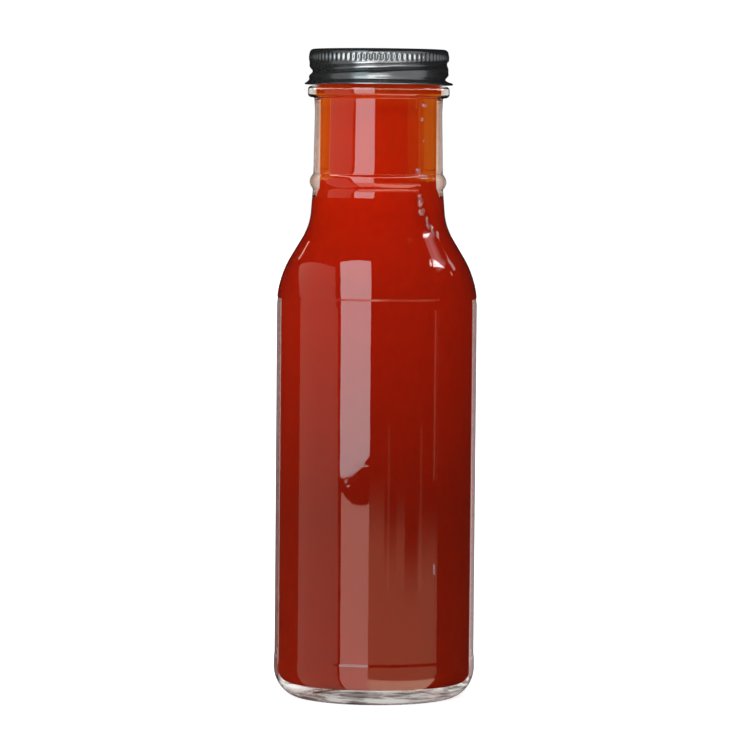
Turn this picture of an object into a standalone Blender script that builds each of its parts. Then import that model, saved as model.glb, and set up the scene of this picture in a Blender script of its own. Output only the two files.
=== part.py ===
"""A ring-neck glass sauce bottle, filled and closed with a roll-threaded metal screw cap.

Three round pieces on the Z axis, in metres, standing on Z = 0: the glass, the sauce inside it and the cap
screwed on its finish. A profile is a list of (radius, height) points; flat discs close its end rings.
"""

import math

import bmesh
import bpy

# Body and base of the glass
BODY_RADIUS = 0.0280
PANEL_RECESS = 0.00015
PANEL_BOTTOM = 0.0113
PANEL_TOP = 0.1110
PANEL_STEP = 0.0006
HEEL_HEIGHT = 0.0086
HEEL_WIDTH = 0.0075
BEARING_WIDTH = 0.0026
PUSH_UP = 0.0022

# Shoulder and neck of the glass
SHOULDER_FOOT = 0.1085
SHOULDER_ANGLE = math.radians(31)
NECK_RADIUS = 0.0177
FLARE_ANGLE = math.radians(4.6)
FLARE_TOP_RADIUS = 0.01812
FLARE_ROUND = 0.0160
RING_HEIGHT = 0.14366
RING_HALF = 0.0021
RING_PROUD = 0.00095
RING_SEAT_RADIUS = 0.01803

# Finish of the glass: the collar under the cap, the wall the cap screws on, and the lip
COLLAR_BOTTOM = 0.1669
COLLAR_TOP = 0.1701
COLLAR_RADIUS = 0.0197
COLLAR_ROUND = 0.0011
SPREAD_HEIGHT = 0.0040
SPREAD_WIDTH = 0.0002
FINISH_RADIUS = 0.0175
THREAD_CREST = 0.0009
THREAD_HALF = 0.0011
THREAD_START = math.radians(-32)
THREAD_END = math.radians(382)
LIP_TOP = 0.17925
LIP_ROUND = 0.0007
BORE_RADIUS = 0.0151

# Inside of the glass: the blown body and shoulder are thin, the pressed neck is thick
BODY_WALL = 0.0023
SHOULDER_WALL = 0.0011
FLOOR_THICKNESS = 0.0044
INNER_HEEL_ROUND = 0.0075
INNER_THROAT_RADIUS = 0.0183
BORE_FOOT = 0.1430
INNER_THROAT_ROUND = 0.0120

# Sauce
FIT_GAP = 0.0003
SAUCE_LEVEL = 0.1727

# Cap
CAP_TOP = 0.1803
CAP_WALL = 0.0005
CAP_RADIUS = 0.0193
CAP_EDGE_ROUND = 0.0012
TOP_RIM_WIDTH = 0.0032
TOP_RECESS = 0.00025
BULGE_RADIUS = 0.01945
BULGE_HEIGHT = 0.1727
SKIRT_FOOT = 0.1718
FLANGE_RADIUS = 0.02065
FLANGE_THICKNESS = 0.0006
FLANGE_HEIGHT = 0.17075

# Knurl: a band of upright ribs under the cap's top edge
RIB_COUNT = 80
KNURL_TOP = 0.1791
KNURL_BOTTOM = 0.1768
RIB_PROUD = 0.00018
RIB_DEPTH = 0.00022

# Thread rolled into the cap's skirt, right-handed
PITCH = 0.00423
GROOVE_DEPTH = 0.00088
GROOVE_HALF = 0.00145
GROOVE_HEIGHT = 0.1720
GROOVE_START = math.radians(-62)
GROOVE_END = math.radians(385)
GROOVE_RUN_OUT = math.radians(55)

# Facets round the axis, and rows of them up the round stretches
GLASS_SIDES = 48
CAP_SIDES = RIB_COUNT
PUSH_UP_ROWS = 4
HEEL_ROWS = 7
INNER_HEEL_ROWS = 5
SHOULDER_ROWS = 7
INNER_SHOULDER_ROWS = 6
THROAT_ROWS = 5
INNER_THROAT_ROWS = 3
RING_ROWS = 6
EDGE_ROWS = 3
LIP_ROWS = 2
SKIRT_ROWS = 6
SAME_HEIGHT = 1e-6


def clear_scene():
    for item in list(bpy.data.objects):
        bpy.data.objects.remove(item)


def arc(before, corner, after, radius, pieces):
    """Points of the arc of that radius which is tangent to both straight lines that meet at the corner."""
    ways = []
    for end in (before, after):
        length = math.dist(corner, end)
        ways.append(((end[0] - corner[0]) / length, (end[1] - corner[1]) / length))
    (ax, az), (bx, bz) = ways
    half = math.acos(ax * bx + az * bz) / 2
    to_centre = radius / math.sin(half)
    mx, mz = ax + bx, az + bz
    scale = to_centre / math.hypot(mx, mz)
    centre = (corner[0] + mx * scale, corner[1] + mz * scale)
    reach = radius / math.tan(half)
    first = math.atan2(corner[1] + az * reach - centre[1], corner[0] + ax * reach - centre[0])
    last = math.atan2(corner[1] + bz * reach - centre[1], corner[0] + bx * reach - centre[0])
    turn = (last - first + math.pi) % math.tau - math.pi
    angles = [first + turn * i / pieces for i in range(pieces + 1)]
    return [(centre[0] + radius * math.cos(t), centre[1] + radius * math.sin(t)) for t in angles]


def rounded(corners):
    """A profile from corners (radius, height) or (radius, height, rounding, pieces)."""
    points = []
    for i, corner in enumerate(corners):
        if len(corner) == 2:
            points.append(corner)
        else:
            points += arc(corners[i - 1][:2], corner[:2], corners[i + 1][:2], *corner[2:])
    return points


def bead(foot, top, proud, pieces):
    """A half-round bead between two points of a wall: its stand-out is a parabola, full at the middle."""
    points = []
    for i in range(pieces + 1):
        s = i / pieces
        radius = foot[0] + (top[0] - foot[0]) * s
        points.append((radius + proud * (1 - (2 * s - 1) ** 2), foot[1] + (top[1] - foot[1]) * s))
    return points


def heel():
    """The quarter ellipse between the bearing ring and the body."""
    middle = BODY_RADIUS - HEEL_WIDTH
    turns = [math.pi / 2 * i / HEEL_ROWS for i in range(HEEL_ROWS + 1)]
    return [(middle + HEEL_WIDTH * math.sin(t), HEEL_HEIGHT * (1 - math.cos(t))) for t in turns]


def push_up():
    """The shallow dome under the base, a parabola that falls to the bearing ring."""
    edge = BODY_RADIUS - HEEL_WIDTH - BEARING_WIDTH
    steps = [i / PUSH_UP_ROWS for i in range(1, PUSH_UP_ROWS + 1)]
    return [(edge * s, PUSH_UP * (1 - s ** 2)) for s in steps]


def shoulder_corners(radius, foot, wall_at_neck, neck_radius, flare):
    """Where the shoulder's cone would meet the body's wall and the neck's, if neither corner were round."""
    body = (radius, foot + radius * math.tan(SHOULDER_ANGLE / 2))
    slope = math.tan(SHOULDER_ANGLE)
    lean = math.tan(flare)
    height = (body[0] + slope * body[1] - neck_radius - lean * wall_at_neck) / (slope - lean)
    return body, (body[0] - slope * (height - body[1]), height)


def glass_outside():
    ring_foot = (FLARE_TOP_RADIUS, RING_HEIGHT - RING_HALF)
    ring_top = (RING_SEAT_RADIUS, RING_HEIGHT + RING_HALF)
    body, neck = shoulder_corners(BODY_RADIUS, SHOULDER_FOOT, ring_foot[1], ring_foot[0], FLARE_ANGLE)
    panel = BODY_RADIUS - PANEL_RECESS
    wall = [
        (BODY_RADIUS, PANEL_BOTTOM),
        (panel, PANEL_BOTTOM + PANEL_STEP),
        (panel, PANEL_TOP - PANEL_STEP),
        (math.sqrt(BODY_RADIUS ** 2 - (PANEL_TOP - SHOULDER_FOOT) ** 2), PANEL_TOP),
    ]
    shoulder = arc((BODY_RADIUS, 0), body, neck, BODY_RADIUS, SHOULDER_ROWS)[2:]
    throat = arc(body, neck, ring_foot, FLARE_ROUND, THROAT_ROWS)
    ring = bead(ring_foot, ring_top, RING_PROUD, RING_ROWS)
    collar = rounded([
        (NECK_RADIUS, COLLAR_BOTTOM - SPREAD_HEIGHT),
        (NECK_RADIUS + SPREAD_WIDTH, COLLAR_BOTTOM),
        (COLLAR_RADIUS, COLLAR_BOTTOM, COLLAR_ROUND, EDGE_ROWS),
        (COLLAR_RADIUS, COLLAR_TOP, COLLAR_ROUND, EDGE_ROWS),
        (FINISH_RADIUS, COLLAR_TOP),
    ])
    return push_up() + heel() + wall + shoulder + throat + ring + collar


def inside_corners():
    """The hollow's rounded corners: its floor's edge, the foot and head of its shoulder, and the bore's foot."""
    inner = BODY_RADIUS - BODY_WALL
    foot = SHOULDER_FOOT + (BODY_WALL - SHOULDER_WALL) / math.sin(SHOULDER_ANGLE)
    body, throat = shoulder_corners(inner, foot, 0, INNER_THROAT_RADIUS, 0)
    return [
        (inner, FLOOR_THICKNESS, INNER_HEEL_ROUND, INNER_HEEL_ROWS),
        (*body, inner, INNER_SHOULDER_ROWS),
        (*throat, INNER_THROAT_ROUND, INNER_THROAT_ROWS),
        (BORE_RADIUS, BORE_FOOT, INNER_THROAT_ROUND, INNER_THROAT_ROWS),
    ]


def glass_profile():
    step = PITCH / 4
    rows = int((LIP_TOP - LIP_ROUND - COLLAR_TOP) / step)
    finish = [(FINISH_RADIUS, COLLAR_TOP + step * (i + 0.5)) for i in range(rows)]
    lip = rounded([
        finish[-1],
        (FINISH_RADIUS, LIP_TOP, LIP_ROUND, LIP_ROWS),
        (BORE_RADIUS, LIP_TOP, LIP_ROUND, LIP_ROWS),
        (BORE_RADIUS, SAUCE_LEVEL),
    ])
    inside = rounded([(0, FLOOR_THICKNESS)] + inside_corners() + [(BORE_RADIUS, SAUCE_LEVEL)])
    return glass_outside() + finish[:-1] + lip[:-1] + inside[:0:-1]


def sauce_profile():
    """The hollow's profile drawn in by the gap to the glass, up to the sauce's level."""
    edge, *walls = [(radius - FIT_GAP, *rest) for radius, *rest in inside_corners()]
    floor = FLOOR_THICKNESS + FIT_GAP
    corners = [(0, floor), (edge[0], floor, *edge[2:])] + walls
    return rounded(corners + [(BORE_RADIUS - FIT_GAP, SAUCE_LEVEL)])[1:]


def cap_outside():
    """The cap's outer profile in three runs: the crown over the knurl, the skirt, and the flanged foot."""
    rim = CAP_RADIUS - TOP_RIM_WIDTH
    step = (KNURL_BOTTOM - BULGE_HEIGHT) / SKIRT_ROWS
    crown = rounded([
        (rim - TOP_RECESS, CAP_TOP - TOP_RECESS),
        (rim, CAP_TOP),
        (CAP_RADIUS, CAP_TOP, CAP_EDGE_ROUND, EDGE_ROWS),
        (CAP_RADIUS, KNURL_TOP),
    ])
    skirt = [(CAP_RADIUS, KNURL_BOTTOM - step * i) for i in range(SKIRT_ROWS)]
    foot = [
        (BULGE_RADIUS, BULGE_HEIGHT),
        (BULGE_RADIUS - FLANGE_THICKNESS / 6, SKIRT_FOOT),
        (FLANGE_RADIUS - FLANGE_THICKNESS, FLANGE_HEIGHT + FLANGE_THICKNESS * 2 / 3),
        (FLANGE_RADIUS, FLANGE_HEIGHT + FLANGE_THICKNESS / 6),
        (FLANGE_RADIUS - FLANGE_THICKNESS / 6, FLANGE_HEIGHT - FLANGE_THICKNESS / 2),
    ]
    return crown, skirt, foot


def cap_inside(skirt):
    """The cap's inner profile, from under the flange up beside the skirt to the underside of the top."""
    inner = CAP_RADIUS - CAP_WALL
    mouth = [
        (inner + FLANGE_THICKNESS, FLANGE_HEIGHT - FLANGE_THICKNESS / 3),
        (inner, SKIRT_FOOT - FLANGE_THICKNESS / 2),
        (inner, BULGE_HEIGHT),
    ]
    wall = [(inner, height) for _, height in reversed(skirt)]
    return mouth + wall + [(inner, CAP_TOP - TOP_RECESS - CAP_WALL)]


def knurl_heights():
    inset = (KNURL_TOP - KNURL_BOTTOM) / 5
    return KNURL_TOP - inset, KNURL_BOTTOM + inset


def ring(bm, radius, height, sides):
    angles = [math.tau * i / sides for i in range(sides)]
    return [bm.verts.new((radius * math.cos(t), radius * math.sin(t), height)) for t in angles]


def skin(bm, lower, upper):
    """Faces between two rings of which one has as many corners as the other, or half as many."""
    if len(lower) > len(upper):
        lower, upper = upper, lower
    for i, corner in enumerate(lower):
        following = lower[(i + 1) % len(lower)]
        if len(lower) == len(upper):
            bm.faces.new((corner, following, upper[(i + 1) % len(upper)], upper[i]))
        else:
            middle = upper[2 * i + 1]
            bm.faces.new((corner, following, middle))
            bm.faces.new((corner, middle, upper[2 * i]))
            bm.faces.new((following, upper[(2 * i + 2) % len(upper)], middle))


def lofted(sizes):
    """A closed solid skinned over rings round Z, each (radius, height, sides), closed by flat end discs."""
    bm = bmesh.new()
    rings = [ring(bm, *size) for size in sizes]
    for lower, upper in zip(rings, rings[1:]):
        skin(bm, lower, upper)
    bm.faces.new(rings[0])
    bm.faces.new(rings[-1])
    bmesh.ops.recalc_face_normals(bm, faces=bm.faces)
    return bm


def turned(profile, sides):
    return lofted([(radius, height, sides) for radius, height in profile])


def lofted_cap():
    """The cap before its thread is rolled: twice the sides in the knurled band, half of them inside."""
    crown, skirt, foot = cap_outside()
    rings = [(radius, height, CAP_SIDES) for radius, height in crown]
    rings += [(CAP_RADIUS, height, 2 * CAP_SIDES) for height in knurl_heights()]
    rings += [(radius, height, CAP_SIDES) for radius, height in skirt + foot]
    rings += [(radius, height, CAP_SIDES // 2) for radius, height in cap_inside(skirt)]
    return lofted(rings)


def push_out(vert, distance):
    """Moves a vertex away from the axis."""
    radius = math.hypot(vert.co.x, vert.co.y)
    vert.co.x *= 1 + distance / radius
    vert.co.y *= 1 + distance / radius


def helix_bump(vert, height, half, first, last):
    """From 0 to 1: how far a vertex is into a right-handed helical ridge or groove with faded ends.

    Across the helix it is a raised cosine, from -half to half. height is the helix's own at angle 0, on +X.
    """
    angle = math.atan2(vert.co.y, vert.co.x)
    most = 0.0
    for along in (angle + math.tau * turn for turn in range(-1, 3)):
        if first <= along <= last:
            off = abs(vert.co.z - height - PITCH * along / math.tau) / half
            fade = min(1.0, (along - first) / GROOVE_RUN_OUT, (last - along) / GROOVE_RUN_OUT)
            most = max(most, fade * (1 + math.cos(math.pi * min(off, 1))) / 2)
    return most


def roll_thread(bm):
    """Presses the thread's groove into the cap's skirt, on its outer and inner wall alike."""
    low, high = SKIRT_FOOT - FLANGE_THICKNESS, KNURL_BOTTOM + SAME_HEIGHT
    for vert in bm.verts:
        if low < vert.co.z < high:
            bump = helix_bump(vert, GROOVE_HEIGHT, GROOVE_HALF, GROOVE_START, GROOVE_END)
            push_out(vert, -GROOVE_DEPTH * bump)


def raise_glass_thread(bm):
    """Raises the glass thread half a pitch above the cap's groove, on the wall between collar and lip."""
    height = GROOVE_HEIGHT + PITCH / 2
    low, high = COLLAR_TOP + SAME_HEIGHT, LIP_TOP - LIP_ROUND - SAME_HEIGHT
    for vert in bm.verts:
        is_outer = math.hypot(vert.co.x, vert.co.y) > (FINISH_RADIUS + BORE_RADIUS) / 2
        if is_outer and low < vert.co.z < high:
            bump = helix_bump(vert, height, THREAD_HALF, THREAD_START, THREAD_END)
            push_out(vert, THREAD_CREST * bump)


def cut_knurl(bm):
    """In the two rings of the knurled band, every second corner stands proud and the others are sunk."""
    for vert in bm.verts:
        if any(abs(vert.co.z - height) < SAME_HEIGHT for height in knurl_heights()):
            place = round(math.atan2(vert.co.y, vert.co.x) / math.tau * 2 * RIB_COUNT)
            push_out(vert, -RIB_DEPTH if place % 2 else RIB_PROUD)


def plain_material(name, colour, roughness, metallic, transmission=0.0):
    material = bpy.data.materials.new(name)
    material.use_nodes = True
    shader = material.node_tree.nodes["Principled BSDF"]
    shader.inputs["Base Color"].default_value = (*colour, 1)
    shader.inputs["Roughness"].default_value = roughness
    shader.inputs["Metallic"].default_value = metallic
    shader.inputs["Transmission Weight"].default_value = transmission
    return material


def add_piece(name, bm, material, sharp_angle):
    mesh = bpy.data.meshes.new(name)
    bmesh.ops.triangulate(bm, faces=bm.faces)
    bm.to_mesh(mesh)
    bm.free()
    mesh.shade_smooth()
    mesh.set_sharp_from_angle(angle=math.radians(sharp_angle))
    mesh.materials.append(material)
    piece = bpy.data.objects.new(name, mesh)
    bpy.context.scene.collection.objects.link(piece)
    return piece


clear_scene()

glass = turned(glass_profile(), GLASS_SIDES)
raise_glass_thread(glass)
clear_glass = plain_material("clear_glass", (0.95, 0.97, 0.96), 0.03, 0.0, transmission=0.9)
add_piece("bottle_glass", glass, clear_glass, 40)

sauce = turned(sauce_profile(), GLASS_SIDES)
red_sauce = plain_material("red_sauce", (0.30, 0.022, 0.006), 0.30, 0.0)
add_piece("sauce", sauce, red_sauce, 40)

cap = lofted_cap()
roll_thread(cap)
cut_knurl(cap)
gunmetal = plain_material("gunmetal_coating", (0.10, 0.10, 0.105), 0.32, 0.85)
add_piece("screw_cap", cap, gunmetal, 50)
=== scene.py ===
"""The sauce bottle as it looks: clear glass full of red sauce, shut with a dark metal screw cap.

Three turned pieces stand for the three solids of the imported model. Lengths are in metres and the axis is Z.
"""

import math

import bmesh
import bpy
import numpy as np
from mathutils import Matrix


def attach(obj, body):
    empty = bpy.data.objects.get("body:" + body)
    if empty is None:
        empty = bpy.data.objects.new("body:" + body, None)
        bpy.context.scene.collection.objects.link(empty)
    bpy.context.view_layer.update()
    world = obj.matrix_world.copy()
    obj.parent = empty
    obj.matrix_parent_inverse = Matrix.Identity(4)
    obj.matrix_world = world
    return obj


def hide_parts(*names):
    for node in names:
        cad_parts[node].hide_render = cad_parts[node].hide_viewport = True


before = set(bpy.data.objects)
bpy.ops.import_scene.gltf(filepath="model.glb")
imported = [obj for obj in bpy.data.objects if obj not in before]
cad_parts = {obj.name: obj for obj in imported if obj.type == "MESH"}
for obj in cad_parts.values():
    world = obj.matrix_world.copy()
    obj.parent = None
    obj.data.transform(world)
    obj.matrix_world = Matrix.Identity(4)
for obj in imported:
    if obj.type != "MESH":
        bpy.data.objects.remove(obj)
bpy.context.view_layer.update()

# The bottle
# A pressed and blown ring-neck bottle of clear soda-lime glass. It has a label panel rolled back between two
# fine steps, a half-round ring at the foot of the neck, a collar under the cap and two mould seams.

BODY_RADIUS = 0.0280
PANEL_RECESS = 0.00015
PANEL_BOTTOM = 0.0113
PANEL_TOP = 0.1119
PANEL_STEP = 0.0006
UNDERCUT = 0.00012
HEEL_HEIGHT = 0.0086
HEEL_WIDTH = 0.0075
BEARING_WIDTH = 0.0026
PUSH_UP = 0.0022
SHOULDER_FOOT = 0.1085
SHOULDER_ANGLE = math.radians(31)
NECK_RADIUS = 0.0177
FLARE_ANGLE = math.radians(4.6)
FLARE_TOP_RADIUS = 0.01812
FLARE_ROUND = 0.0160
RING_HEIGHT = 0.14366
RING_HALF = 0.0021
RING_PROUD = 0.00095
RING_SEAT_RADIUS = 0.01803
COLLAR_BOTTOM = 0.1669
COLLAR_TOP = 0.1701
COLLAR_RADIUS = 0.0197
COLLAR_ROUND = 0.0011
SPREAD_HEIGHT = 0.0040
SPREAD_WIDTH = 0.0002
FINISH_RADIUS = 0.0175
THREAD_CREST = 0.0009
THREAD_HALF = 0.0011
THREAD_ENDS = math.radians(-32), math.radians(382)
LIP_TOP = 0.17925
LIP_ROUND = 0.0007
BORE_RADIUS = 0.0151
BODY_WALL = 0.0023
SHOULDER_WALL = 0.0011
FLOOR_THICKNESS = 0.0044
INNER_HEEL_ROUND = 0.0028
INNER_THROAT_RADIUS = 0.0183
BORE_FOOT = 0.1430
INNER_THROAT_ROUND = 0.0120

STIPPLES = 60
STIPPLE_DEPTH = 0.00018
SEAM_ANGLES = math.radians(-52), math.radians(128)
SEAM_PROUD = 0.00005
SEAM_HALF = 0.00028
WAVE_DEPTH = 0.00003
GLASS_COLUMNS = 216
GLASS_ROW = 0.0013
PITCH = 0.00423
CAP_GROOVE_HEIGHT = 0.1720
THREAD_RUN_OUT = math.radians(55)


def arc(before, corner, after, radius, step=math.radians(6)):
    """Points of the arc of that radius tangent to both straight lines that meet at the corner.

    Its centre is on the corner's bisector, radius / sin(half the corner's angle) away.
    """
    before, corner, after = (np.array(point[:2], float) for point in (before, corner, after))
    one = (before - corner) / np.linalg.norm(before - corner)
    two = (after - corner) / np.linalg.norm(after - corner)
    half = np.arccos(one @ two) / 2
    centre = corner + (one + two) / np.linalg.norm(one + two) * radius / np.sin(half)
    starts = corner + np.array([one, two]) * radius / np.tan(half) - centre
    first, last = np.arctan2(starts[:, 1], starts[:, 0])
    turn = (last - first + np.pi) % math.tau - np.pi
    angles = first + np.linspace(0, turn, 2 + int(abs(turn) / step))
    return centre + radius * np.column_stack([np.cos(angles), np.sin(angles)])


def rounded(corners):
    """A profile through corners (radius, height), with an arc at each that has a third number, its radius."""
    runs = []
    for i, corner in enumerate(corners):
        is_round = len(corner) == 3
        runs.append(arc(corners[i - 1], corner, corners[i + 1], corner[2]) if is_round else [corner])
    return np.vstack(runs)


def spaced(profile, longest):
    """The same profile with points added evenly on each straight run, none further apart than longest."""
    lengths = np.hypot(*np.diff(profile, axis=0).T)
    counts = np.ceil(lengths / longest).astype(int)
    places = np.concatenate([i + np.arange(n) / n for i, n in enumerate(counts)] + [[len(counts)]])
    return np.column_stack([np.interp(places, np.arange(len(profile)), column) for column in profile.T])


def shoulder_corners(radius, foot, wall_at_neck, neck_radius, flare):
    """Where the shoulder's cone would meet the body's wall and the neck's, if neither corner were round."""
    body = (radius, foot + radius * math.tan(SHOULDER_ANGLE / 2))
    slope, lean = math.tan(SHOULDER_ANGLE), math.tan(flare)
    height = (body[0] + slope * body[1] - neck_radius - lean * wall_at_neck) / (slope - lean)
    return body, (body[0] - slope * (height - body[1]), height)


def shoulder_radius(height):
    """The shoulder's radius at a height: a sphere as wide as the body, centred at the shoulder's foot."""
    return math.sqrt(BODY_RADIUS**2 - (height - SHOULDER_FOOT) ** 2)


def outside_of_glass():
    """From the push-up's edge round the heel, up the body, shoulder and neck, to the lip."""
    t = np.linspace(0, np.pi / 2, 22)
    heel_middle = BODY_RADIUS - HEEL_WIDTH
    heel = np.column_stack([heel_middle + HEEL_WIDTH * np.sin(t), HEEL_HEIGHT * (1 - np.cos(t))])
    s = np.linspace(0.04, 1, 20)
    dome_edge = heel_middle - BEARING_WIDTH
    dome = np.column_stack([dome_edge * s, PUSH_UP * (1 - s**2)])
    bearing = np.column_stack([np.linspace(dome_edge, heel_middle, 8)[1:-1], np.zeros(6)])
    panel = BODY_RADIUS - PANEL_RECESS
    steps = rounded([
        (BODY_RADIUS, HEEL_HEIGHT),
        (BODY_RADIUS, PANEL_BOTTOM, 0.0008),
        (panel, PANEL_BOTTOM + PANEL_STEP, 0.0008),
        (panel, PANEL_TOP - 4 * PANEL_STEP, 0.0010),
        (shoulder_radius(PANEL_TOP) - UNDERCUT, PANEL_TOP - PANEL_STEP, 0.0003),
        (shoulder_radius(PANEL_TOP), PANEL_TOP, 0.0005),
        (shoulder_radius(PANEL_TOP + PANEL_STEP), PANEL_TOP + PANEL_STEP),
    ])[1:-1]
    ring_foot = (FLARE_TOP_RADIUS, RING_HEIGHT - RING_HALF)
    body, neck = shoulder_corners(BODY_RADIUS, SHOULDER_FOOT, ring_foot[1], ring_foot[0], FLARE_ANGLE)
    shoulder = arc((BODY_RADIUS, 0), body, neck, BODY_RADIUS, math.radians(1.2))
    shoulder = shoulder[shoulder[:, 1] > PANEL_TOP + PANEL_STEP / 2]
    throat = arc(body, neck, ring_foot, FLARE_ROUND, math.radians(1.5))
    u = np.linspace(-1, 1, 19)
    ring = np.column_stack([
        FLARE_TOP_RADIUS + (RING_SEAT_RADIUS - FLARE_TOP_RADIUS) * (u + 1) / 2 + RING_PROUD * (1 - u**2),
        RING_HEIGHT + RING_HALF * u,
    ])
    collar = rounded([
        (NECK_RADIUS, COLLAR_BOTTOM - SPREAD_HEIGHT),
        (NECK_RADIUS + SPREAD_WIDTH, COLLAR_BOTTOM, 0.0005),
        (COLLAR_RADIUS, COLLAR_BOTTOM, COLLAR_ROUND),
        (COLLAR_RADIUS, COLLAR_TOP, COLLAR_ROUND),
        (FINISH_RADIUS, COLLAR_TOP, 0.0003),
        (FINISH_RADIUS, LIP_TOP, LIP_ROUND),
        (BORE_RADIUS, LIP_TOP, LIP_ROUND),
        (BORE_RADIUS, LIP_TOP - 0.0012),
    ])
    return np.vstack([dome, bearing, heel, steps, shoulder, throat, ring, collar])


def hollow(grow=0.0):
    """The hollow's profile from the floor up to the lip, with grow added outwards, into the glass."""
    inner = BODY_RADIUS - BODY_WALL
    foot = SHOULDER_FOOT + (BODY_WALL - SHOULDER_WALL) / math.sin(SHOULDER_ANGLE)
    body, throat = shoulder_corners(inner, foot, 0, INNER_THROAT_RADIUS, 0)
    return rounded([
        (0.0008, FLOOR_THICKNESS - grow),
        (inner + grow, FLOOR_THICKNESS - grow, INNER_HEEL_ROUND),
        (body[0] + grow, body[1], inner),
        (throat[0] + grow, throat[1], INNER_THROAT_ROUND),
        (BORE_RADIUS + grow, BORE_FOOT, INNER_THROAT_ROUND),
        (BORE_RADIUS + grow, LIP_TOP - 0.0012),
    ])


def helix(angle, height, start_height, half, ends):
    """From 0 to 1: how far points are into a right-handed helical ridge or groove with faded ends.

    Across the helix it is a raised cosine, from -half to half. start_height is the helix's own at angle 0.
    """
    most = np.zeros(np.broadcast(angle, height).shape)
    for turn in range(-1, 3):
        along = np.arctan2(np.sin(angle), np.cos(angle)) + math.tau * turn
        off = np.clip(np.abs(height - start_height - PITCH * along / math.tau) / half, 0, 1)
        fade = np.clip(np.minimum(along - ends[0], ends[1] - along) / THREAD_RUN_OUT, 0, 1)
        most = np.maximum(most, fade * (1 + np.cos(np.pi * off)) / 2)
    return most


def turned(name, radius, height, angles):
    """A closed skin over rings round Z: (radius cos angle, radius sin angle, height) at each row and column.

    Each end ring closes on a pole at its own mean height. The profile runs with the solid on its left.
    """
    radius, height, angles = np.broadcast_arrays(radius, height, angles)
    rows, columns = radius.shape
    points = np.stack([radius * np.cos(angles), radius * np.sin(angles), height], axis=-1)
    poles = [[0, 0, height[0].mean()], [0, 0, height[-1].mean()]]
    corner = np.arange(rows * columns).reshape(rows, columns)
    following = np.roll(corner, -1, axis=1)
    quads = np.stack([corner[:-1], following[:-1], following[1:], corner[1:]], axis=-1)
    first = np.stack([following[0], corner[0], np.full(columns, rows * columns)], axis=-1)
    last = np.stack([corner[-1], following[-1], np.full(columns, rows * columns + 1)], axis=-1)
    mesh = bpy.data.meshes.new(name)
    faces = quads.reshape(-1, 4).tolist() + first.tolist() + last.tolist()
    mesh.from_pydata(np.vstack([points.reshape(-1, 3), poles]), [], faces)
    mesh.shade_smooth()
    piece = bpy.data.objects.new(name, mesh)
    bpy.context.scene.collection.objects.link(piece)
    return piece


def columns_round(count, seams, offsets):
    """Angles round the axis, even but for extra ones at those offsets either side of each seam."""
    even = np.arange(count) / count * math.tau - np.pi
    extra = np.concatenate([seam + np.array(offsets) for seam in seams])
    return np.unique(np.round(np.concatenate([even, extra]), 5))[:, None].T


def blown_waves(angles, height):
    """The uneven surface of blown glass, from -1 to 1: a few slow sines round the axis and up it."""
    return (
        np.sin(3 * angles + 12 * height + 0.6)
        + np.sin(5 * angles - 18 * height + 2.1)
        + 0.7 * np.sin(8 * angles + 25 * height + 4.0)
        + 0.5 * np.sin(13 * angles - 20 * height)
    ) / 3.2


def shader_of(name):
    """A new node material, with its tree and its Principled shader."""
    material = bpy.data.materials.new(name)
    material.use_nodes = True
    return material, material.node_tree, material.node_tree.nodes["Principled BSDF"]


def add_node(tree, kind, **settings):
    """A node of that kind, with its properties and its unlinked sockets set by name."""
    node = tree.nodes.new("ShaderNode" + kind)
    for key, value in settings.items():
        if hasattr(node, key):
            setattr(node, key, value)
        else:
            node.inputs[key.replace("_", " ")].default_value = value
    return node


def placed_noise(tree, stretch, **settings):
    """Noise on Object coordinates, its pattern drawn out by 1 / stretch along each axis."""
    place = add_node(tree, "TexCoord")
    mapping = add_node(tree, "Mapping", Scale=stretch)
    noise = add_node(tree, "TexNoise", **settings)
    tree.links.new(place.outputs["Object"], mapping.inputs["Vector"])
    tree.links.new(mapping.outputs["Vector"], noise.inputs["Vector"])
    return noise


outside = spaced(outside_of_glass(), GLASS_ROW)
inside = spaced(hollow(), 4 * GLASS_ROW)[::-1]
profile = np.vstack([outside, inside[1:]])
is_outside = (np.arange(len(profile)) < len(outside))[:, None]
seam_offsets = [o / BODY_RADIUS * SEAM_HALF for o in (-3, -2, -1.3, -0.8, -0.4, 0, 0.4, 0.8, 1.3, 2, 3)]
angles = columns_round(GLASS_COLUMNS, SEAM_ANGLES, seam_offsets)
radius, height = profile[:, :1] + 0 * angles, profile[:, 1:] + 0 * angles

on_wall = is_outside & (height > HEEL_HEIGHT) & (height < COLLAR_BOTTOM)
radius = radius + WAVE_DEPTH * (blown_waves(angles, height) - 1) * on_wall
seam = sum(np.exp(-(((angles - place) * radius / SEAM_HALF) ** 2)) for place in SEAM_ANGLES)
radius = radius + SEAM_PROUD * seam * on_wall
on_finish = is_outside & (height > COLLAR_TOP + 1e-5) & (height < LIP_TOP - LIP_ROUND)
thread = helix(angles, height, CAP_GROOVE_HEIGHT + PITCH / 2, THREAD_HALF, THREAD_ENDS)
radius = radius + THREAD_CREST * thread * on_finish
bearing_middle = BODY_RADIUS - HEEL_WIDTH - BEARING_WIDTH / 2
across = np.clip(1 - np.abs(radius - bearing_middle) / BEARING_WIDTH, 0, 1)
on_bearing = is_outside & (height < HEEL_HEIGHT / 3)
stipple = (1 - np.cos(STIPPLES * angles + radius * 4000)) / 2
height = height + STIPPLE_DEPTH * stipple * across * on_bearing

glass = turned("glass_bottle", radius, height, angles)


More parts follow.
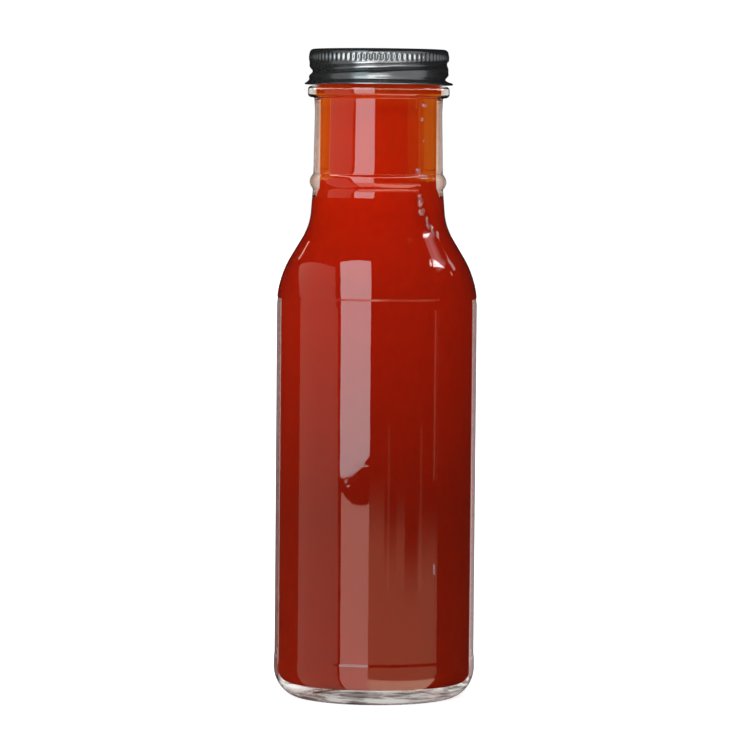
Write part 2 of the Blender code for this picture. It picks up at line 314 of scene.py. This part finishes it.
def nibs(azimuths, heights, long_halves, wide_halves, proud):
    """Half-sunk ellipsoids on the outer wall: seat + long u along the wall + wide v round it + proud w out.

    (u, v, w) runs over the unit sphere. Each array holds one number for each ellipsoid.
    """
    wall = outside_of_glass()
    wall = wall[(wall[:, 1] > PANEL_BOTTOM + 0.002) & (wall[:, 1] < COLLAR_BOTTOM - 0.0002)]
    seat, lean = (np.interp(heights, wall[:, 1], column) for column in (wall[:, 0], np.gradient(*wall.T)))
    across, up = np.meshgrid(np.arange(16) / 16 * math.tau, np.linspace(0.02, np.pi - 0.02, 11))
    u, v, w = np.cos(up), np.sin(up) * np.sin(across), np.sin(up) * np.cos(across)
    each = (long_halves, wide_halves, proud, seat, lean, heights)
    along, wide, out, seat, lean, foot = (np.asarray(row, float)[:, None, None] for row in each)
    slant = np.hypot(1, lean)
    far = seat + (along * u * lean + out * w) / slant
    high = foot + (along * u - out * w * lean) / slant
    turn = np.asarray(azimuths, float)[:, None, None] - np.pi / 2
    x = far * np.cos(turn) - wide * v * np.sin(turn)
    y = far * np.sin(turn) + wide * v * np.cos(turn)
    points = np.stack([x, y, high], axis=-1).reshape(-1, 3)
    corner = np.arange(x.size).reshape(x.shape)
    following = np.roll(corner, -1, axis=2)
    quads = np.stack([following[:, :-1], following[:, 1:], corner[:, 1:], corner[:, :-1]], axis=-1)
    ends = np.concatenate([corner[:, 0], corner[:, -1, ::-1]])
    mesh = bpy.data.meshes.new("nibs")
    mesh.from_pydata(points, [], quads.reshape(-1, 4).tolist() + ends.tolist())
    mesh.shade_smooth()
    return mesh


# Nibs of glass stand in a line up the front of the neck, with drawn-out ones on the throat and a few low on
# the body. A row is an azimuth in degrees, a height, half a length, half a width and how far it stands out.
places = np.array([
    (44.5, 0.16480, 0.0007, 0.0008, 0.00075),
    (42.0, 0.16090, 0.0006, 0.0005, 0.00050),
    (43.5, 0.15500, 0.0004, 0.0004, 0.00035),
    (37.5, 0.14680, 0.0010, 0.0008, 0.00085),
    (43.0, 0.14530, 0.0006, 0.0011, 0.00070),
    (39.0, 0.13990, 0.0008, 0.0008, 0.00075),
    (39.5, 0.13800, 0.0014, 0.0011, 0.00095),
    (40.5, 0.13550, 0.0011, 0.0013, 0.00100),
    (46.0, 0.13250, 0.0020, 0.0006, 0.00050),
    (50.0, 0.13060, 0.0018, 0.0005, 0.00050),
    (-16.8, 0.06210, 0.0006, 0.0006, 0.00055),
    (-13.6, 0.06380, 0.0005, 0.0005, 0.00035),
    (-15.5, 0.06080, 0.0004, 0.0005, 0.00030),
    (-8.0, 0.06650, 0.0005, 0.0020, 0.00030),
    (36.0, 0.03780, 0.0016, 0.0004, 0.00030),
])
beads = nibs(np.radians(places[:, 0]), *places.T[1:])
joined = bmesh.new()
joined.from_mesh(glass.data)
joined.from_mesh(beads)
joined.to_mesh(glass.data)
joined.free()


def glass_finish(name, ior):
    """Clear glass with a faint upright ripple. A coat gives its gloss, because the refraction is slight."""
    material, tree, shader = shader_of(name)
    ripple = placed_noise(tree, (45, 45, 4), Scale=1.0, Detail=2.0, Roughness=0.5)
    bump = add_node(tree, "Bump", Strength=0.3, Distance=0.00004)
    tree.links.new(ripple.outputs["Fac"], bump.inputs["Height"])
    tree.links.new(bump.outputs["Normal"], shader.inputs["Normal"])
    tree.links.new(bump.outputs["Normal"], shader.inputs["Coat Normal"])
    shader.inputs["Base Color"].default_value = (0.94, 0.92, 0.91, 1)
    shader.inputs["Roughness"].default_value = 0.0
    shader.inputs["IOR"].default_value = ior
    shader.inputs["Transmission Weight"].default_value = 1.0
    shader.inputs["Coat Weight"].default_value = 1.0
    shader.inputs["Coat Roughness"].default_value = 0.015
    shader.inputs["Coat IOR"].default_value = 1.5
    return material


# Each zone's refraction is fitted to the width of the clear edge that it shows, from its foot up to the next.
ZONES = (
    ("base_glass_finish", 1.004, 0.0),
    ("wall_glass_finish", 1.03, 0.0049),
    ("shoulder_glass_finish", 1.12, 0.1110),
    ("neck_glass_finish", 1.06, 0.1390),
    ("collar_glass_finish", 1.14, 0.1660),
)
for name, ior, _ in ZONES:
    glass.data.materials.append(glass_finish(name, ior))
middles = np.empty(3 * len(glass.data.polygons))
glass.data.polygons.foreach_get("center", middles)
# The base's glass barely bends light, so its tint carries painted reflections: dark and white streaks, drawn
# out up the axis, stand for what the thick glass there reflects and refracts.
tree = glass.data.materials[0].node_tree
painted_base_reflections = placed_noise(tree, (70, 70, 900), Scale=1.0, Detail=3.0, Roughness=0.6)
painted_reflection_greys = add_node(tree, "ValToRGB")
painted_reflection_greys.color_ramp.elements[0].position = 0.39
painted_reflection_greys.color_ramp.elements[0].color = (0.16, 0.13, 0.12, 1)
painted_reflection_greys.color_ramp.elements[1].position = 0.56
painted_reflection_greys.color_ramp.elements[1].color = (1.0, 0.985, 0.96, 1)
painted_reflection_greys.color_ramp.elements.new(0.47).color = (0.76, 0.73, 0.69, 1)
tree.links.new(painted_base_reflections.outputs["Fac"], painted_reflection_greys.inputs["Fac"])
tree.links.new(painted_reflection_greys.outputs["Color"], tree.nodes["Principled BSDF"].inputs["Base Color"])
zone = np.searchsorted([foot for _, _, foot in ZONES], middles[2::3], side="right") - 1
glass.data.polygons.foreach_set("material_index", np.clip(zone, 0, None).astype(np.int32))

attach(glass, "root")
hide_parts("bottle_glass")

# The sauce
# A thick tomato-red sauce that fills the bottle to the finish. It wets the wall, so its skin reaches just
# into the glass and no air shows between. Its colour is painted by height: painted shade keeps it dark low in
# the body, and painted light turns it orange up the neck and under the cap, where more light passes through.

SAUCE_LEVEL = 0.1727
WETTING = 0.00012
MENISCUS_RISE = 0.0004
MENISCUS_WIDTH = 0.0009
SAUCE_COLUMNS = 200
SAUCE_ROW = 0.0015

walls = spaced(hollow(WETTING), SAUCE_ROW)
walls = walls[walls[:, 1] < SAUCE_LEVEL]
s = np.linspace(1, 0.03, 30)
top_radius = (BORE_RADIUS + WETTING) * s
top = np.column_stack([
    top_radius,
    SAUCE_LEVEL - MENISCUS_RISE * (1 - np.exp(-(BORE_RADIUS + WETTING - top_radius) / MENISCUS_WIDTH)),
])
profile = np.vstack([walls, top])
angles = np.arange(SAUCE_COLUMNS)[None, :] / SAUCE_COLUMNS * math.tau
radius, height = profile[:, :1] + 0 * angles, profile[:, 1:] + 0 * angles
sauce = turned("sauce_fill", radius, height, angles)

red_sauce, tree, shader = shader_of("red_sauce_finish")
# Painted light and shade: the ramp by height darkens the sauce low in the body and turns it orange up the
# neck and under the cap. The pulp noise over it is the sauce's own uneven colour.
place = add_node(tree, "TexCoord")
split = add_node(tree, "SeparateXYZ")
level = add_node(tree, "MapRange", From_Min=0.0, From_Max=0.18)
tree.links.new(place.outputs["Object"], split.inputs["Vector"])
tree.links.new(split.outputs["Z"], level.inputs["Value"])
painted_light_by_height = add_node(tree, "ValToRGB")
ramp = painted_light_by_height.color_ramp
ramp.elements[0].color = (0.27, 0.013, 0.004, 1)
ramp.elements[1].color = (0.56, 0.022, 0.003, 1)
for position, colour in (
    (0.30, (0.235, 0.010, 0.003, 1)),
    (0.60, (0.42, 0.013, 0.003, 1)),
    (0.76, (0.58, 0.017, 0.003, 1)),
    (0.85, (0.56, 0.022, 0.003, 1)),
    (0.91, (0.56, 0.022, 0.003, 1)),
    (0.935, (0.72, 0.05, 0.004, 1)),
):
    ramp.elements.new(position).color = colour
tree.links.new(level.outputs["Result"], painted_light_by_height.inputs["Fac"])
pulp = placed_noise(tree, (400, 400, 300), Scale=1.0, Detail=4.0)
mottle = add_node(tree, "MapRange", To_Min=0.88, To_Max=1.12)
tree.links.new(pulp.outputs["Fac"], mottle.inputs["Value"])
blend = add_node(tree, "Mix", data_type="RGBA", blend_type="MULTIPLY")
blend.inputs["Factor"].default_value = 1.0
tree.links.new(painted_light_by_height.outputs["Color"], blend.inputs["A"])
tree.links.new(mottle.outputs["Result"], blend.inputs["B"])
tree.links.new(blend.outputs["Result"], shader.inputs["Base Color"])
shader.inputs["Roughness"].default_value = 0.35
shader.inputs["Specular IOR Level"].default_value = 0.0
shader.inputs["Subsurface Weight"].default_value = 1.0
shader.inputs["Subsurface Radius"].default_value = (1.0, 0.35, 0.08)
shader.inputs["Subsurface Scale"].default_value = 0.0025
sauce.data.materials.append(red_sauce)

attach(sauce, "root")
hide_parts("sauce")

# The cap
# A drawn tinplate screw cap in a dark grey coating. Its knurl, its thread and its curled flange are rolled
# into the skirt, so the thread is a groove outside and a ridge inside.

CAP_TOP = 0.1803
CAP_WALL = 0.0005
CAP_RADIUS = 0.0193
CAP_EDGE_ROUND = 0.0012
TOP_RIM_WIDTH = 0.0032
TOP_RECESS = 0.00025
BULGE_RADIUS = 0.01945
BULGE_HEIGHT = 0.1727
SKIRT_FOOT = 0.1718
FLANGE_RADIUS = 0.02065
FLANGE_THICKNESS = 0.0006
FLANGE_HEIGHT = 0.17075
RIB_COUNT = 80
KNURL_TOP = 0.1791
KNURL_BOTTOM = 0.1768
RIB_PROUD = 0.00018
RIB_DEPTH = 0.00022
GROOVE_DEPTH = 0.00088
GROOVE_HALF = 0.00145
GROOVE_ENDS = math.radians(-62), math.radians(385)
CAP_COLUMNS = 7 * RIB_COUNT
CAP_ROW = 0.0003


def skin_of_cap():
    """From the underside of the top, down inside the skirt, round the curled flange and up the outside."""
    inner = CAP_RADIUS - CAP_WALL
    rim = CAP_RADIUS - TOP_RIM_WIDTH
    under_top = CAP_TOP - TOP_RECESS - CAP_WALL
    inside = spaced(rounded([
        (0.0008, under_top),
        (inner, under_top, 0.0007),
        (inner, SKIRT_FOOT - FLANGE_THICKNESS / 2, 0.0003),
        (inner + FLANGE_THICKNESS, FLANGE_HEIGHT - FLANGE_THICKNESS / 3),
    ]), 0.0010)
    lip = rounded([
        (inner + FLANGE_THICKNESS, FLANGE_HEIGHT - FLANGE_THICKNESS / 3),
        (FLANGE_RADIUS - FLANGE_THICKNESS / 4, FLANGE_HEIGHT - FLANGE_THICKNESS / 2, 0.0002),
        (FLANGE_RADIUS, FLANGE_HEIGHT + FLANGE_THICKNESS / 8, 0.0002),
        (FLANGE_RADIUS - FLANGE_THICKNESS, FLANGE_HEIGHT + FLANGE_THICKNESS * 2 / 3, 0.0006),
        (BULGE_RADIUS - FLANGE_THICKNESS / 6, SKIRT_FOOT, 0.0005),
        (BULGE_RADIUS, BULGE_HEIGHT, 0.0012),
        (CAP_RADIUS, BULGE_HEIGHT + 0.0012),
    ])[1:]
    crown = rounded([
        (CAP_RADIUS, BULGE_HEIGHT + 0.0012),
        (CAP_RADIUS, CAP_TOP, CAP_EDGE_ROUND),
        (rim, CAP_TOP, 0.0006),
        (rim - 2 * TOP_RECESS, CAP_TOP - TOP_RECESS, 0.0006),
        (0.0008, CAP_TOP - TOP_RECESS),
    ])[1:]
    outside = np.vstack([lip, crown])
    on_top = outside[:, 0] < rim - 4 * TOP_RECESS
    return inside, spaced(outside[~on_top], CAP_ROW), spaced(outside[on_top], 0.0015)


inside, outside, top = skin_of_cap()
profile = np.vstack([inside, outside, top])
angles = np.arange(CAP_COLUMNS)[None, :] / CAP_COLUMNS * math.tau
radius, height = profile[:, :1] + 0 * angles, profile[:, 1:] + 0 * angles
is_outside = (np.arange(len(profile)) >= len(inside))[:, None]
in_skirt = (height > SKIRT_FOOT - FLANGE_THICKNESS) & (height < KNURL_BOTTOM)
is_skirt = (radius > CAP_RADIUS - 2 * CAP_WALL) & in_skirt
groove = helix(angles, height, CAP_GROOVE_HEIGHT, GROOVE_HALF, GROOVE_ENDS)
radius = radius - GROOVE_DEPTH * groove * is_skirt
up_band = np.clip((height - KNURL_BOTTOM) / (KNURL_TOP - KNURL_BOTTOM), 0, 1)
band = np.sin(np.pi * up_band) ** 0.6 * is_outside * (radius > CAP_RADIUS - CAP_WALL)
rib = np.cos(RIB_COUNT * angles)
radius = radius + band * np.where(rib > 0, RIB_PROUD * rib, RIB_DEPTH * rib)
cap = turned("cap_shell", radius, height, angles)

gunmetal, tree, shader = shader_of("gunmetal_finish")
grain = placed_noise(tree, (1800, 1800, 1800), Scale=1.0, Detail=2.0)
cloud = placed_noise(tree, (220, 220, 220), Scale=1.0, Detail=3.0)
tint = add_node(tree, "ValToRGB")
tint.color_ramp.elements[0].color = (0.26, 0.265, 0.27, 1)
tint.color_ramp.elements[1].color = (0.36, 0.37, 0.38, 1)
sheen = add_node(tree, "MapRange", To_Min=0.18, To_Max=0.26)
bump = add_node(tree, "Bump", Strength=0.25, Distance=0.00004)
tree.links.new(cloud.outputs["Fac"], tint.inputs["Fac"])
tree.links.new(cloud.outputs["Fac"], sheen.inputs["Value"])
tree.links.new(grain.outputs["Fac"], bump.inputs["Height"])
tree.links.new(tint.outputs["Color"], shader.inputs["Base Color"])
tree.links.new(sheen.outputs["Result"], shader.inputs["Roughness"])
tree.links.new(bump.outputs["Normal"], shader.inputs["Normal"])
shader.inputs["Metallic"].default_value = 0.95
cap.data.materials.append(gunmetal)

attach(cap, "root")
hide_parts("screw_cap")

# The table
# A pale table top of matt board, lit from within so that it meets the sky without an edge. What it throws
# back on the bottle is held low, as it is in the photograph.

FLOOR_SIZE = 6.0
FLOOR_GLOW = 0.8
FLOOR_BOUNCE = 0.08

points = [(x * FLOOR_SIZE, y * FLOOR_SIZE, 0) for x, y in ((-1, -1), (1, -1), (1, 1), (-1, 1))]
mesh = bpy.data.meshes.new("floor")
mesh.from_pydata(points, [], [(0, 1, 2, 3)])
floor = bpy.data.objects.new("floor", mesh)
bpy.context.scene.collection.objects.link(floor)
floor.visible_glossy = False
pale, tree, shader = shader_of("pale_table")
shader.inputs["Base Color"].default_value = (1, 1, 1, 1)
shader.inputs["Roughness"].default_value = 1.0
shader.inputs["Specular IOR Level"].default_value = 0.0
path = add_node(tree, "LightPath")
glow = add_node(tree, "MapRange", To_Min=FLOOR_GLOW, To_Max=FLOOR_BOUNCE)
tree.links.new(path.outputs["Diffuse Depth"], glow.inputs["Value"])
tree.links.new(glow.outputs["Result"], shader.inputs["Emission Strength"])
shader.inputs["Emission Color"].default_value = (1, 1, 1, 1)
mesh.materials.append(pale)

# The sky
# A white tent of cloth round the table. It is even where the camera sees it, brighter in front and to the
# left where it lights the sauce, and near black in mirrored rays, so that gloss shows the cards alone.

SKY_SEEN = 1.02
SKY_DIM = 0.09
SKY_BRIGHT = 2.25
SKY_BRIGHT_SIDE = (-0.242, -0.832, 0.5)
SKY_FALL = 2.5
GLOSSY_SKY = 0.008

world = bpy.data.worlds.new("studio")
bpy.context.scene.world = world
world.use_nodes = True
world.cycles.sampling_method = "NONE"
tree = world.node_tree
path = add_node(tree, "LightPath")
is_mirrored = add_node(tree, "Math", operation="SUBTRACT", use_clamp=True)
tree.links.new(path.outputs["Is Glossy Ray"], is_mirrored.inputs[0])
tree.links.new(path.outputs["Is Transmission Ray"], is_mirrored.inputs[1])
place = add_node(tree, "TexCoord")
facing = add_node(tree, "VectorMath", operation="DOT_PRODUCT")
facing.inputs[1].default_value = SKY_BRIGHT_SIDE
lobe = add_node(tree, "Math", operation="POWER")
lobe.inputs[1].default_value = SKY_FALL
front = add_node(tree, "Clamp")
room = add_node(tree, "MapRange", To_Min=SKY_DIM, To_Max=SKY_BRIGHT)
has_bounced = add_node(tree, "Math", operation="GREATER_THAN")
has_bounced.inputs[1].default_value = 0.5
seen = add_node(tree, "Mix")
seen.inputs["A"].default_value = SKY_SEEN
strength = add_node(tree, "Mix")
strength.inputs["B"].default_value = GLOSSY_SKY
tree.links.new(place.outputs["Generated"], facing.inputs[0])
tree.links.new(facing.outputs["Value"], front.inputs["Value"])
tree.links.new(front.outputs["Result"], lobe.inputs[0])
tree.links.new(lobe.outputs["Value"], room.inputs["Value"])
tree.links.new(path.outputs["Diffuse Depth"], has_bounced.inputs[0])
tree.links.new(has_bounced.outputs["Value"], seen.inputs["Factor"])
tree.links.new(room.outputs["Result"], seen.inputs["B"])
tree.links.new(seen.outputs["Result"], strength.inputs["A"])
tree.links.new(is_mirrored.outputs["Value"], strength.inputs["Factor"])
tree.links.new(strength.outputs["Result"], tree.nodes["Background"].inputs["Strength"])
tree.nodes["Background"].inputs["Color"].default_value = (1, 1, 1, 1)

# The cards
# Soft boxes, reflectors and lamps of glowing cloth round the bottle. Only gloss sees them, each lights only
# the pieces it is meant for, and they are clear to one another, so that none hides what stands behind it.

FAR = 1.2
AMBER_DISTANCE = 0.035
COLLAR_DISTANCE = 0.038


def card(name, rows, radiance, colour=(1, 1, 1), fade=0.0, lit=()):
    """A glowing curtain between rows (left, right, distance, height on the left, height on the right).

    left and right are azimuths in degrees, to the right of the camera. Its glow grows smoothly over fade,
    down from the top. lit names the only pieces that it lights.
    """
    points = [
        (distance * math.sin(math.radians(azimuth)), -distance * math.cos(math.radians(azimuth)), height)
        for left, right, distance, low, high in rows
        for azimuth, height in ((left, low), (right, high))
    ]
    faces = [(2 * i, 2 * i + 1, 2 * i + 3, 2 * i + 2) for i in range(len(rows) - 1)]
    mesh = bpy.data.meshes.new(name)
    mesh.from_pydata(points, [], faces)
    piece = bpy.data.objects.new(name, mesh)
    bpy.context.scene.collection.objects.link(piece)
    material = bpy.data.materials.new(name)
    material.use_nodes = True
    tree = material.node_tree
    tree.nodes.remove(tree.nodes["Principled BSDF"])
    glow = add_node(tree, "Emission", Color=(*colour, 1), Strength=radiance)
    if fade:
        place = add_node(tree, "TexCoord")
        split = add_node(tree, "SeparateXYZ")
        top = max(point[2] for point in points)
        drop = add_node(tree, "MapRange", From_Min=top, From_Max=top - fade, To_Max=radiance)
        drop.interpolation_type = "SMOOTHSTEP"
        tree.links.new(place.outputs["Object"], split.inputs["Vector"])
        tree.links.new(split.outputs["Z"], drop.inputs["Value"])
        tree.links.new(drop.outputs["Result"], glow.inputs["Strength"])
    clear = add_node(tree, "BsdfTransparent")
    both = add_node(tree, "AddShader")
    tree.links.new(glow.outputs["Emission"], both.inputs[0])
    tree.links.new(clear.outputs["BSDF"], both.inputs[1])
    tree.links.new(both.outputs["Shader"], tree.nodes["Material Output"].inputs["Surface"])
    mesh.materials.append(material)
    piece.visible_camera = False
    piece.visible_diffuse = False
    piece.visible_transmission = False
    piece.visible_shadow = False
    if lit:
        group = bpy.data.collections.new(name + "_lights")
        for shown in lit:
            group.objects.link(shown)
        piece.light_linking.receiver_collection = group


card("strip_box", [
    (-40.5, -6.6, FAR, -0.028, -0.016),
    (-41.0, -6.6, FAR, 0.31, 0.34),
    (-46.7, -7.6, FAR, 0.81, 0.90),
    (-60.5, -11.3, 1.0, 1.23, 1.60),
], 5.0, (0.90, 0.98, 1.0), lit=[glass])
card("strip_box_low", [
    (-39, -6.6, FAR, -1.5, -1.5),
    (-39, -6.6, FAR, -0.036, -0.042),
], 3.8, (1.0, 0.58, 0.48), lit=[glass])
card("left_reflector", [
    (-98, -42, FAR, -1.5, -1.5),
    (-98, -42, FAR, -0.08, -0.08),
    (-98, -46, FAR, 0.20, 0.20),
    (-106, -51, FAR, 0.42, 0.65),
    (-125, -62, FAR, 0.62, 1.16),
], 0.95, (1.0, 0.68, 0.52), lit=[glass])
for left, right, top in (
    (-6.6, 10, -0.022),
    (10, 24, -0.040),
    (24, 34, -0.030),
    (34, 50, -0.055),
    (50, 72.5, -0.040),
):
    card("low_card", [
        (left, right, FAR, -1.5, -1.5),
        (left, right, FAR, top, top),
    ], 1.3, (1.0, 0.58, 0.34), fade=0.05, lit=[glass])
card("table_card", [
    (-6.6, 75, FAR, -1.6, -1.6),
    (-6.6, 75, FAR, -0.25, -0.25),
], 3.5, (1.0, 0.72, 0.55), fade=0.1, lit=[glass])
# Amber cards stand close to both sides of the neck, in steps of brightness, and a pale band rings the collar.
for inner, outer, radiance in (
    (-74, -84, 1.3),
    (-84, -94, 1.4),
    (-94, -106, 0.9),
    (40, 58, 0.5),
    (58, 68, 1.2),
    (68, 80, 2.0),
    (80, 92, 1.6),
    (92, 106, 0.9),
):
    card("amber_card", [
        (inner, outer, AMBER_DISTANCE, 0.1475, 0.1475),
        (inner, outer, AMBER_DISTANCE, 0.1664, 0.1664),
    ], radiance, (1.0, 0.50, 0.03), lit=[glass])
for left in range(-105, 105, 30):
    card("collar_card", [
        (left, left + 30, COLLAR_DISTANCE, 0.1706, 0.1706),
        (left, left + 30, COLLAR_DISTANCE, 0.1775, 0.1775),
    ], 7.0, (1.0, 0.80, 0.66), lit=[glass])
card("side_lamp", [
    (83, 103, FAR, 1.06, 0.80),
    (89, 97, FAR, 1.24, 1.16),
], 14.0, lit=[glass])
# Six cards, each narrower than the last, add up to a glow with soft sides.
for half in (13, 11, 9, 7, 5, 3):
    card("side_glow", [
        (101 - half, 101 + half, FAR, 0.82, 0.82),
        (98 - half, 98 + half, FAR, 1.24, 1.24),
    ], 0.38, (1.0, 0.82, 0.82), fade=0.2, lit=[glass])
for middle, half, low, high, radiance in (
    (70.4, 1.0, -0.03, 0.085, 1.0),
    (14.7, 1.2, -0.09, 0.0, 0.45),
    (53.8, 1.3, -0.09, 0.0, 0.45),
    (110.0, 1.5, 0.59, 0.66, 3.0),
):
    card("faint_strip", [
        (middle - half, middle + half, FAR, low, low),
        (middle - half, middle + half, FAR, high, high),
    ], radiance, (1.0, 0.62, 0.40), lit=[glass])
card("rear_lamp", [
    (118, 124, FAR, 0.60, 0.60),
    (118, 124, FAR, 0.80, 0.80),
], 2.0, lit=[glass])
card("far_rear_lamp", [
    (-138, -135, FAR, 0.58, 0.58),
    (-138, -135, FAR, 0.80, 0.80),
], 2.5, (1.0, 0.8, 0.6), lit=[glass])
card("cap_bright", [
    (-20, 15, FAR, 0.0, 0.0),
    (-20, 15, FAR, 0.45, 0.45),
], 3.4, (0.96, 1.0, 0.98), lit=[cap])
card("cap_teal", [
    (-44, -20, FAR, 0.0, 0.0),
    (-44, -20, FAR, 1.2, 1.2),
], 0.95, (0.76, 1.0, 1.05), lit=[cap])
card("cap_right", [
    (15, 85, FAR, -1.6, -1.6),
    (15, 85, FAR, 1.0, 0.8),
], 0.38, lit=[cap])
card("cap_left", [
    (-85, -44, FAR, -1.6, -1.6),
    (-85, -44, FAR, 1.0, 1.0),
], 0.25, lit=[cap])
card("cap_low_strip", [
    (-41, -6.6, FAR, -1.6, -1.6),
    (-41, -6.6, FAR, -0.05, -0.05),
], 4.0, lit=[cap])
card("cap_low", [
    (-6.6, 52, FAR, -1.6, -1.6),
    (-6.6, 52, FAR, -0.05, -0.05),
], 1.15, fade=0.2, lit=[cap])

# The curtains behind
# Tinted cloth hung close behind the bottle, which only rays through the glass see. It gives the clear edges
# of the body and the neck the pinks and browns that they take from the sauce and the room.

BACKDROP_DISTANCE = 0.06


def backdrop(name, across, heights, colours):
    """A flat curtain at one distance behind the axis, over a grid of places across and up.

    Its glow runs evenly between the colours at the grid's corners, a row of them for each height.
    """
    x, z = np.meshgrid(across, heights)
    points = np.stack([x, np.full(x.shape, BACKDROP_DISTANCE), z], axis=-1).reshape(-1, 3)
    corner = np.arange(x.size).reshape(x.shape)
    quads = np.stack([corner[:-1, :-1], corner[:-1, 1:], corner[1:, 1:], corner[1:, :-1]], axis=-1)
    mesh = bpy.data.meshes.new(name)
    mesh.from_pydata(points, [], quads.reshape(-1, 4).tolist())
    shade = mesh.attributes.new("shade", "FLOAT_COLOR", "POINT")
    shade.data.foreach_set("color", np.array([(*c, 1) for row in colours for c in row], np.float32).ravel())
    piece = bpy.data.objects.new(name, mesh)
    bpy.context.scene.collection.objects.link(piece)
    material = bpy.data.materials.new(name)
    material.use_nodes = True
    tree = material.node_tree
    tree.nodes.remove(tree.nodes["Principled BSDF"])
    read = add_node(tree, "Attribute", attribute_name="shade")
    glow = add_node(tree, "Emission", Strength=1.0)
    tree.links.new(read.outputs["Color"], glow.inputs["Color"])
    tree.links.new(glow.outputs["Emission"], tree.nodes["Material Output"].inputs["Surface"])
    mesh.materials.append(material)
    piece.visible_camera = False
    piece.visible_diffuse = False
    piece.visible_glossy = False
    piece.visible_shadow = False


backdrop("left_backdrop", (-0.030, -0.018, -0.004), (0.0, 0.045, 0.075, 0.112), (
    ((0.20, 0.03, 0.012), (0.20, 0.03, 0.012), (0.40, 0.24, 0.20)),
    ((0.20, 0.04, 0.02), (0.20, 0.04, 0.02), (0.45, 0.30, 0.25)),
    ((0.26, 0.10, 0.08), (0.26, 0.10, 0.08), (0.60, 0.48, 0.45)),
    ((0.32, 0.15, 0.13), (0.32, 0.15, 0.13), (0.78, 0.68, 0.66)),
))
backdrop("right_backdrop", (0.004, 0.018, 0.030), (0.0, 0.045, 0.112), (
    ((0.95, 0.93, 0.94), (0.62, 0.42, 0.42), (0.40, 0.18, 0.17)),
    ((0.95, 0.90, 0.91), (0.55, 0.30, 0.29), (0.34, 0.10, 0.09)),
    ((0.90, 0.82, 0.84), (0.46, 0.22, 0.21), (0.28, 0.06, 0.05)),
))
backdrop("neck_backdrop", (-0.014, 0.0, 0.014), (0.125, 0.2), (
    ((0.95, 0.90, 0.88), (0.48, 0.20, 0.10), (0.95, 0.90, 0.88)),
    ((0.95, 0.90, 0.88), (0.48, 0.20, 0.10), (0.95, 0.90, 0.88)),
))

# The flag
# A piece of black cloth bent round the front of the throat. It keeps the cards' reflections off it, where
# the photograph shows none.

FLAG_AZIMUTHS = -75, 12
FLAG_GAP = 0.0012
FLAG_FOOT = 0.1245
FLAG_TOP = 0.1394

flag_line = outside_of_glass()
flag_line = flag_line[(flag_line[:, 1] > FLAG_FOOT) & (flag_line[:, 1] < RING_HEIGHT - RING_HALF)][::3]
flag_line = np.vstack([flag_line, [FLARE_TOP_RADIUS + 0.0001, FLAG_TOP]])
turn = np.radians(np.linspace(*FLAG_AZIMUTHS, 30))[None, :] - np.pi / 2
radius, height = flag_line[:, :1] + FLAG_GAP, flag_line[:, 1:]
points = np.stack(np.broadcast_arrays(radius * np.cos(turn), radius * np.sin(turn), height), axis=-1)
rows, columns = points.shape[:2]
corner = np.arange(rows * columns).reshape(rows, columns)
quads = np.stack([corner[:-1, :-1], corner[:-1, 1:], corner[1:, 1:], corner[1:, :-1]], axis=-1)
mesh = bpy.data.meshes.new("throat_flag")
mesh.from_pydata(points.reshape(-1, 3), [], quads.reshape(-1, 4).tolist())
flag = bpy.data.objects.new("throat_flag", mesh)
bpy.context.scene.collection.objects.link(flag)
black, tree, shader = shader_of("black_cloth")
shader.inputs["Base Color"].default_value = (0.003, 0.003, 0.003, 1)
shader.inputs["Specular IOR Level"].default_value = 0.0
mesh.materials.append(black)
flag.visible_camera = False
flag.visible_diffuse = False
flag.visible_transmission = False
flag.visible_shadow = False

# The camera
# A long lens 1.2 m off, as high as the neck. It looks down at the middle of the bottle and is turned half a
# degree on its own axis, as the photograph is.

CAMERA_DISTANCE = 1.2
CAMERA_HEIGHT = 0.155
CAMERA_SIDE = -0.0003
CAMERA_ROLL = math.radians(-0.5)
CAMERA_YAW = 0.00053
AIM_HEIGHT = 0.0898
LENS = 207.0

camera = bpy.data.objects.new("camera", bpy.data.cameras.new("camera"))
bpy.context.scene.collection.objects.link(camera)
camera.data.lens = LENS
camera.data.sensor_width = 36
camera.location = (CAMERA_SIDE, -CAMERA_DISTANCE, CAMERA_HEIGHT)
tilt = math.atan2(CAMERA_HEIGHT - AIM_HEIGHT, CAMERA_DISTANCE)
camera.rotation_euler = (math.pi / 2 - tilt, CAMERA_ROLL, CAMERA_YAW)
bpy.context.scene.camera = camera
bpy.context.scene.view_settings.view_transform = "Standard"
bpy.context.scene.cycles.use_denoising = True
